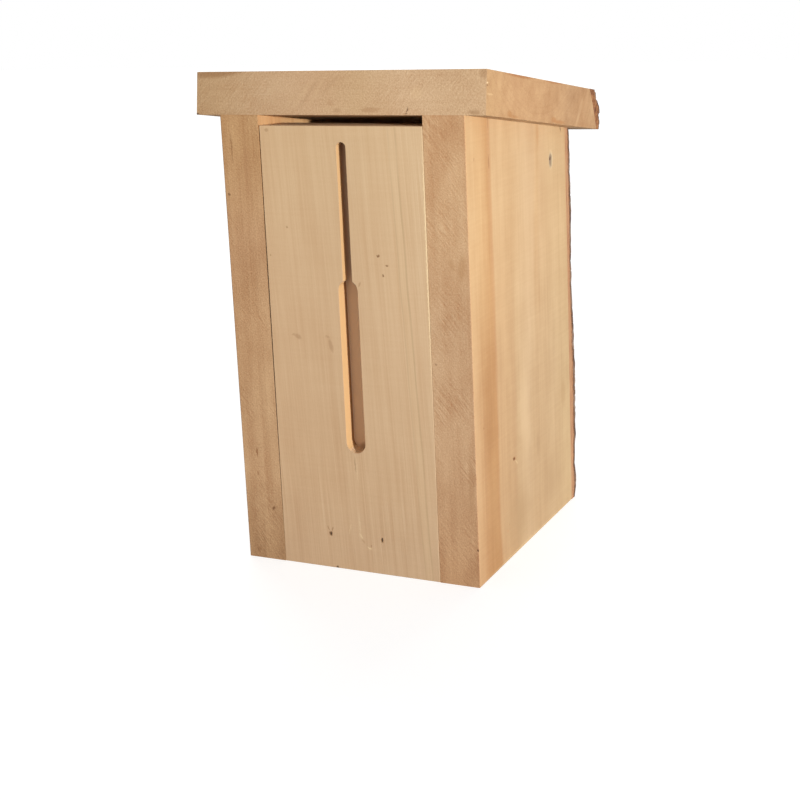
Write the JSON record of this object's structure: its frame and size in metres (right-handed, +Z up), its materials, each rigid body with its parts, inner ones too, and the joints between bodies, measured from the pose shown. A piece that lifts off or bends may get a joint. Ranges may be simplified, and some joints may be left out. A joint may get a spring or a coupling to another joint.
{
  "type": "bird house",
  "caption": "Bird house of thick sawn boards with bark left on their front edges, a keyhole slot in the back to hang it by, and a hinged front with an entrance hole.",
  "frame": {"origin": "bottom centre of the whole house's box, on the plane that the sides stand on", "axes": "+Z up, -Y out of the back that hangs against a wall or a tree, +Y out of the door with the entrance hole, +X to the right as seen from the back"},
  "size_m": [0.181, 0.1942, 0.2943],
  "materials": {
    "back_wood": "planed pale hardwood, matt, uncoated",
    "side_wood": "planed pale hardwood, matt, uncoated",
    "roof_wood": "sawn pale hardwood, matt, uncoated",
    "button_wood": "sanded hardwood, matt",
    "bark": "rough natural bark",
    "steel": "bright zinc, dulled"
  },
  "bodies": {
    "house": {"back_panel": "back_wood", "left_side": "side_wood", "right_side": "side_wood", "left_side_bark": "bark", "right_side_bark": "bark", "floor_board": "side_wood", "roof_board": "roof_wood", "roof_bark": "bark", "back_brads": "steel", "side_brads": "steel", "roof_nails": "steel", "left_pivot_nail": "steel", "right_pivot_nail": "steel", "latch_washer": "steel", "latch_screw": "steel"},
    "door": {"front_door": "back_wood"},
    "latch": {"turn_button": "button_wood"}
  },
  "joints": [
    {"name": "door_swing", "type": "hinge", "parent": "house", "child": "door", "pos_m": [0.0015, 0.03391, 0.22903], "axis": [1, 0, 0], "range_deg": [0, 80]},
    {"name": "latch_turn", "type": "hinge", "parent": "house", "child": "latch", "pos_m": [0.0015, 0.04641, 0.0175], "axis": [0, -1, 0], "range_deg": [0, 180]}
  ]
}
